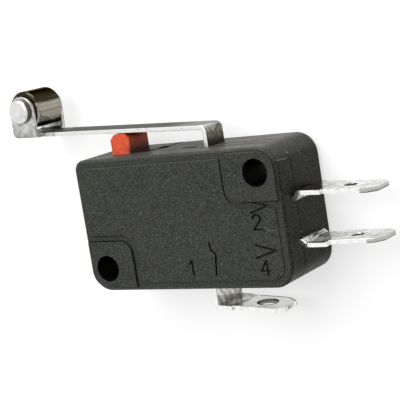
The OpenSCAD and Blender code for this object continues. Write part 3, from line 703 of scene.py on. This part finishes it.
# Painted shade along the foot of a hole pad and of the panel beside it (X and Y).
PAD_ARC = (5.1, 4.5)
PAD_FOOT_R = 1.56
PANEL_FOOT_R = 2.20
PAD_SHADE = [
    (0.13, [(0.5, 6.06), (5.1, 6.06)] + arc(*PAD_ARC, PAD_FOOT_R, 90, 0) + [(6.66, 0.5)]),
    (0.10, [(1.0, 6.70), (5.1, 6.70)] + arc(*PAD_ARC, PANEL_FOOT_R, 90, 0) + [(7.30, 1.0)]),
]
FAR_SHADE = [PAD_SHADE[0], (0.10, arc(*PAD_ARC, PANEL_FOOT_R, 45, 0) + [(7.30, 1.0)])]
# Painted highlights on the upper rims of the panel and of the far pad (X and Y), and an X between
# them.
RIM_HIGHLIGHT = [(0.06, [(1.6, 14.86), (20.3, 14.86)]), (0.06, [(21.5, 15.40), (25.6, 15.40)])]
FAR_PAD_X = 21
# Painted shade as a dark line along the bottom terminal's back edge, one corner of its tip and its
# eye (X and Z).
COM_EDGE_SHADE = [
    (0.05, [(18.6, 2.86), (22.5, 2.86), (23.95, 3.95)]),
    (0.07, arc(COM_EYE[0], COM_EYE[2], 1.24, 0, 360, 28)),
]


def drawn(name, lines, place, colour, squeeze=1.0):
    """Thin raised lines on a face; place turns (u, v, height) into a point."""
    look = Shader(name)
    look.finish(colour, 0.7, specular=0.0)
    work = bmesh.new()
    for width, points in lines:
        stroke(work, [(u, v / squeeze) for u, v in points], width, 0, LINE_HEIGHT)
    for vert in work.verts:
        vert.co = place(vert.co.x, vert.co.y * squeeze, vert.co.z)
    bmesh.ops.recalc_face_normals(work, faces=work.faces)
    mesh = bpy.data.meshes.new(name)
    work.to_mesh(mesh)
    work.free()
    mesh.materials.append(look.material)
    piece = new_object(name, mesh)
    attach(piece, "case")


def strewn(seed, count, u_range, v_range, widths, reach):
    """Short lines strewn over a patch, each running along v."""
    chance = random.Random(seed)
    lines = []
    for _ in range(count):
        u, v = chance.uniform(*u_range), chance.uniform(*v_range)
        width = chance.uniform(*widths)
        end = (u + chance.uniform(-0.04, 0.04), v + chance.uniform(*reach))
        lines.append((width, [(u, v), end]))
    return lines


def plate_place(x, y, lift):
    """Point on the cover's plate."""
    return at(x, y, PLATE_Z + lift)


def rim_place(x, y, lift):
    """Point on the panel or on the far pad."""
    return at(x, y, (PANEL_Z if x < FAR_PAD_X else PAD_Z) + lift)


def top_place(x, z, lift):
    """Point on the top face, which holds the plunger."""
    return at(x, case_h + lift, z)


def end_place(y, z, lift):
    """Point on the end face, which rounds over into the top."""
    past = max(0.0, y - (case_h - CORNER_R))
    return at(case_l - CORNER_R + math.sqrt(CORNER_R ** 2 - past ** 2) + lift, y, z)


def no_place(x, z, lift):
    """Point on the lower end terminal's upper face, which slopes down outside the case."""
    share = min(1.0, max(0.0, (x - SLOPE_X) / SLOPE_L))
    return at(x, SLOPE_TOP + (SLOPE_FOOT - SLOPE_TOP) * share + lift, z)


def com_place(x, z, lift):
    """Point on the upper face of the bottom terminal's blade, which droops towards its tip."""
    return at(x, COM_TOP - (x - LEG_X) * math.tan(math.radians(COM_DROOP)) + lift, z)


def add_marks():
    """Painted shade along the pad feet and painted highlights on the rims round the pads, brown
    lines on the lower terminal, a painted dark outline on the bottom terminal, a seam on the top,
    end scratches.
    """
    # the far pad is the near one turned half round
    far = [(width, [(case_l - x, case_h - y) for x, y in points]) for width, points in FAR_SHADE]
    drag = strewn(
        seed=8, count=26, u_range=(27.85, 28.8), v_range=(2.6, 5.4),
        widths=(0.03, 0.05), reach=(0.7, 2.2)
    )
    crease_shade, wear_and_highlight, brown = (0.008, 0.008, 0.007), (0.105, 0.105, 0.095), (0.045, 0.043, 0.038)
    grey, seam, pale = (0.16, 0.155, 0.14), (0.004, 0.004, 0.003), (0.30, 0.30, 0.27)
    # painted shade along the feet of the pads and the panel
    drawn("case_crease_shade", PAD_SHADE + far, plate_place, crease_shade)
    # painted highlights along the upper rims
    drawn("case_rim_highlight", RIM_HIGHLIGHT, rim_place, wear_and_highlight)
    drawn("no_drag_lines", drag, no_place, brown)
    # painted shade along the bottom terminal's edges and eye
    drawn("com_edge_shade", COM_EDGE_SHADE, com_place, grey, SQUEEZE)
    drawn("case_seam", SEAM, top_place, seam, SQUEEZE)
    drawn("case_scratches", SCRATCHES, end_place, pale)


# ---------------------------------------------------------------- light and floor

# Each lamp: its name, where it is and what it points at (m), its size (m) and its power (W).
LAMPS = [
    ("key", (-0.10, 0.35, 0.75), (0.01, 0.0, 0.0), (0.55, 0.55), 3.2),
    ("fill", (0.0, 0.55, 0.16), (0.01, 0.0, 0.0), (0.4, 0.3), 2.6),
]
# Brightness of the surroundings: a base, and what each direction adds. The two values are where
# along its axis an addition starts and where it is full, then comes how much it is.
WORLD_BASE = 0.20
WORLD_PARTS = [("Z", 0.35, 0.9, 0.42), ("X", 0.0, -0.6, 0.36), ("Y", 0.3, 0.95, 0.10)]
# The floor's half width and its gap under the object (m), its colour where it only throws light
# back and where it is seen, and its glow where it is seen.
FLOOR_HALF = 2.0
FLOOR_GAP = 0.00002
FLOOR_LIT = (0.40, 0.40, 0.40)
FLOOR_SEEN = (0.48, 0.48, 0.48)
FLOOR_GLOW = 0.58


def add_area(name, position, target, size, power):
    data = bpy.data.lights.new(name, "AREA")
    data.shape = "RECTANGLE"
    data.size, data.size_y = size
    data.energy = power
    lamp = bpy.data.objects.new(name, data)
    direction = (Vector(target) - Vector(position)).normalized()
    lamp.rotation_euler = direction.to_track_quat("-Z", "Y").to_euler()
    lamp.location = position
    bpy.context.scene.collection.objects.link(lamp)


def add_world():
    """Soft grey surroundings that light the object and show as plain white."""
    world = bpy.data.worlds.new("world")
    bpy.context.scene.world = world
    world.use_nodes = True
    sky = Nodes(world.node_tree)
    direction = sky.parts(sky.node("ShaderNodeTexCoord").outputs["Generated"])
    total = WORLD_BASE
    for axis, low, high, gain in WORLD_PARTS:
        part = sky.ramp(direction[axis], low, high, 0, gain, shape="SMOOTHSTEP")
        total = sky.math("ADD", part, total)
    grey = sky.node("ShaderNodeCombineColor")
    for socket in grey.inputs[:3]:
        sky.link(total, socket)
    back = sky.tree.nodes["Background"]
    sky.link(sky.mix(sky.seen(), grey.outputs[0], (1, 1, 1)), back.inputs["Color"])


def add_floor():
    """Pale floor that keeps the object's shadow and is near white where it is seen."""
    mesh = bpy.data.meshes.new("floor")
    half = FLOOR_HALF
    corners = [(-half, -half, 0), (half, -half, 0), (half, half, 0), (-half, half, 0)]
    mesh.from_pydata(corners, [], [(0, 1, 2, 3)])
    floor = new_object("floor", mesh)
    floor.location.z = cad_box[0][2] - FLOOR_GAP
    s = Shader("floor")
    seen = s.seen()
    s.bsdf.inputs["Emission Color"].default_value = (1, 1, 1, 1)
    s.link(s.math("MULTIPLY", seen, FLOOR_GLOW), s.bsdf.inputs["Emission Strength"])
    mesh.materials.append(s.finish(s.mix(seen, FLOOR_LIT, FLOOR_SEEN), 0.9, specular=0.0))


# ---------------------------------------------------------------- build

def build():
    plastic = case_plastic("case_plastic", (0.033, 0.035, 0.029))
    # the engraved marks are lined with very dark plastic: painted shade in the grooves
    engraved = case_plastic("engraved_shade_plastic", (0.012, 0.012, 0.011), with_wear_and_shade=False)
    tin = tinned_brass()
    bronze = copper_alloy("spring_bronze", (0.66, 0.46, 0.22))
    silver = inner_metal("contact_silver", (0.82, 0.81, 0.78), (4, 4, 4), 0.28, streak=0.15)
    wire = inner_metal("spring_steel", (0.50, 0.50, 0.51), (1, 8, 8), 0.25)
    rivet = rivet_steel((0.80, 0.81, 0.79))

    finer("base_case", "case", plastic, bevel=0.06)
    finer("front_cover", "case", plastic, cutter=marks_cutter(engraved))
    finer("plunger", "plunger", plunger_plastic(), bevel=0.12)
    finer("lever", "lever", lever_steel(), bevel=0.06)
    finer("roller", "roller", roller_steel(), bevel=0.05)
    finer("roller_pin", "lever", rivet, bevel=0.08)
    for node in ("nc_terminal", "no_terminal", "com_terminal"):
        finer(node, "case", tin, bevel=0.05)
    add_marks()
    # the inner pieces keep their CAD meshes
    for node, material in (
        ("nc_contact", silver), ("no_contact", silver), ("moving_contact", silver),
        ("rocker", bronze), ("moving_blade", bronze), ("snap_spring", wire),
    ):
        mesh = frame["nodes"][node].data
        mesh.materials.clear()
        mesh.materials.append(material)


add_camera()
add_world()
add_floor()
build()
for lamp in LAMPS:
    add_area(*lamp)
scene = bpy.context.scene
scene.view_settings.view_transform = "Standard"
scene.view_settings.look = "None"
